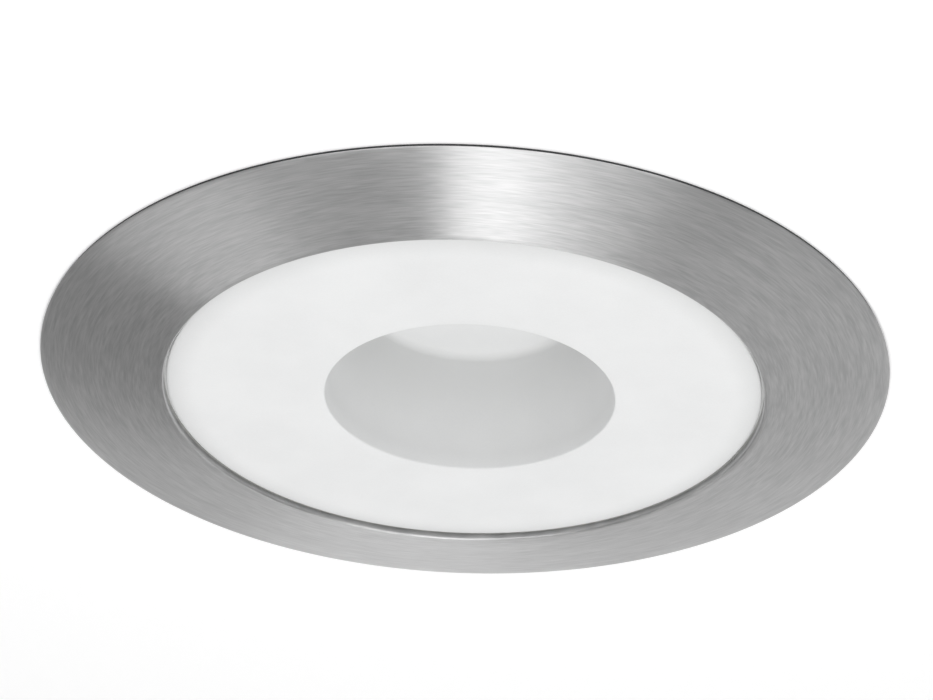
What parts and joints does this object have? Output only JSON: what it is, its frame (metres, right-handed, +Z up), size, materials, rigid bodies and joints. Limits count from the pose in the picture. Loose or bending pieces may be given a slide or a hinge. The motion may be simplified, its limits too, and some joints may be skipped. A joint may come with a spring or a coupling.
{
  "type": "recessed soffit downlight",
  "caption": "Recessed downlight for a soffit: brushed trim ring round a frosted glass with a pressed central well, in a can held by spring clips, with a junction box on top.",
  "frame": {"origin": "centre of the soffit's round hole, in the plane of the soffit's lower face", "axes": "+Z up into the soffit along the fitting's axis, +X towards the cable gland, +Y towards the junction box's lid screw"},
  "size_m": [0.19, 0.2312, 0.1448],
  "materials": {
    "brushed_nickel": "satin nickel, brushed round the ring",
    "frosted_glass": "white frosted, opal",
    "clear_silicone": "translucent white silicone",
    "black_foam": "closed-cell foam",
    "galvanised_sheet": "galvanised, spangled",
    "zinc_plate": "bright zinc plate",
    "spring_steel": "tempered spring steel, oiled",
    "white_enamel": "white powder coat",
    "black_rubber": "matt",
    "grey_rubber": "matt",
    "mirrored_glass": "pressed glass, silvered inside",
    "lamp_glass": "prismatic lens",
    "porcelain": "unglazed steatite",
    "brass": "machined",
    "white_nylon": "moulded",
    "black_nylon": "moulded",
    "brown_insulation": "extruded",
    "blue_insulation": "extruded",
    "green_insulation": "extruded, with a yellow stripe"
  },
  "bodies": {
    "housing": {"mounting_collar": "galvanised_sheet", "can_shell": "white_enamel", "collar_screws": "zinc_plate", "can_cap": "white_enamel", "cap_screws": "zinc_plate", "spring_receivers": "galvanised_sheet", "receiver_rivets": "zinc_plate", "clip_brackets": "galvanised_sheet", "clip_rivets": "zinc_plate", "clip_pins": "zinc_plate", "clip_spring_tails": "spring_steel", "lampholder": "porcelain", "holder_contacts": "brass", "holder_strap": "galvanised_sheet", "holder_screws": "zinc_plate", "strap_screws": "zinc_plate", "junction_box": "galvanised_sheet", "box_screws": "zinc_plate", "knockouts": "galvanised_sheet", "hinge_pin": "zinc_plate", "terminal_block": "white_nylon", "terminal_screws": "zinc_plate", "lead_bush": "black_rubber", "live_lead": "brown_insulation", "neutral_lead": "blue_insulation", "earth_lead": "green_insulation", "earth_screw": "brass", "gland_body": "black_nylon", "gland_locknut": "black_nylon", "gland_seal": "grey_rubber", "gland_nut": "black_nylon"},
    "trim": {"trim_ring": "brushed_nickel", "trim_gasket": "black_foam", "trim_studs": "zinc_plate", "glass_gasket": "clear_silicone", "face_glass": "frosted_glass", "retainer_ring": "galvanised_sheet", "retainer_nuts": "zinc_plate", "spring_hangers": "galvanised_sheet", "hanger_rivets": "zinc_plate", "hanger_pins": "zinc_plate"},
    "left_front_arm": {"left_spring_front_arm": "spring_steel"},
    "left_back_arm": {"left_spring_back_arm": "spring_steel"},
    "right_front_arm": {"right_spring_front_arm": "spring_steel"},
    "right_back_arm": {"right_spring_back_arm": "spring_steel"},
    "front_clip": {"front_clip": "spring_steel", "front_clip_foot": "black_rubber", "front_clip_spring": "spring_steel"},
    "back_clip": {"back_clip": "spring_steel", "back_clip_foot": "black_rubber", "back_clip_spring": "spring_steel"},
    "lamp": {"lamp_reflector": "mirrored_glass", "lamp_lens": "lamp_glass", "lamp_base": "porcelain", "lamp_pins": "zinc_plate"},
    "lid": {"box_lid": "galvanised_sheet", "lid_gasket": "black_foam", "lid_screw": "zinc_plate"}
  },
  "joints": [
    {"name": "trim_drop", "type": "slide", "parent": "housing", "child": "trim", "axis": [0, 0, -1], "range_m": [0, 0.03], "stiffness_N_per_m": 300, "springref_m": -0.06},
    {"name": "left_front_arm_close", "type": "hinge", "parent": "trim", "child": "left_front_arm", "pos_m": [-0.061, 0, 0.009], "axis": [-1, 0, 0], "range_deg": [0, 15.8]},
    {"name": "left_back_arm_close", "type": "hinge", "parent": "trim", "child": "left_back_arm", "pos_m": [-0.061, 0, 0.009], "axis": [1, 0, 0], "range_deg": [0, 15.8]},
    {"name": "right_front_arm_close", "type": "hinge", "parent": "trim", "child": "right_front_arm", "pos_m": [0.061, 0, 0.009], "axis": [-1, 0, 0], "range_deg": [0, 15.8]},
    {"name": "right_back_arm_close", "type": "hinge", "parent": "trim", "child": "right_back_arm", "pos_m": [0.061, 0, 0.009], "axis": [1, 0, 0], "range_deg": [0, 15.8]},
    {"name": "front_clip_fold", "type": "hinge", "parent": "housing", "child": "front_clip", "pos_m": [0, -0.081, 0.031], "axis": [-1, 0, 0], "range_deg": [0, 124], "stiffness_Nm_per_rad": 0.15, "springref_deg": -60.16},
    {"name": "back_clip_fold", "type": "hinge", "parent": "housing", "child": "back_clip", "pos_m": [0, 0.081, 0.031], "axis": [1, 0, 0], "range_deg": [0, 124], "stiffness_Nm_per_rad": 0.15, "springref_deg": -60.16},
    {"name": "lamp_twist", "type": "hinge", "parent": "housing", "child": "lamp", "pos_m": [0, 0, 0.0764], "axis": [0, 0, 1], "range_deg": [0, 20]},
    {"name": "lid_open", "type": "hinge", "parent": "housing", "child": "lid", "pos_m": [0, -0.0336, 0.1332], "axis": [1, 0, 0], "range_deg": [0, 110]}
  ],
  "couplings": [
    {"joint": "left_front_arm_close", "follows": "trim_drop", "rad_per_m": 9.1338},
    {"joint": "left_back_arm_close", "follows": "trim_drop", "rad_per_m": 9.1338},
    {"joint": "right_front_arm_close", "follows": "trim_drop", "rad_per_m": 9.1338},
    {"joint": "right_back_arm_close", "follows": "trim_drop", "rad_per_m": 9.1338}
  ]
}
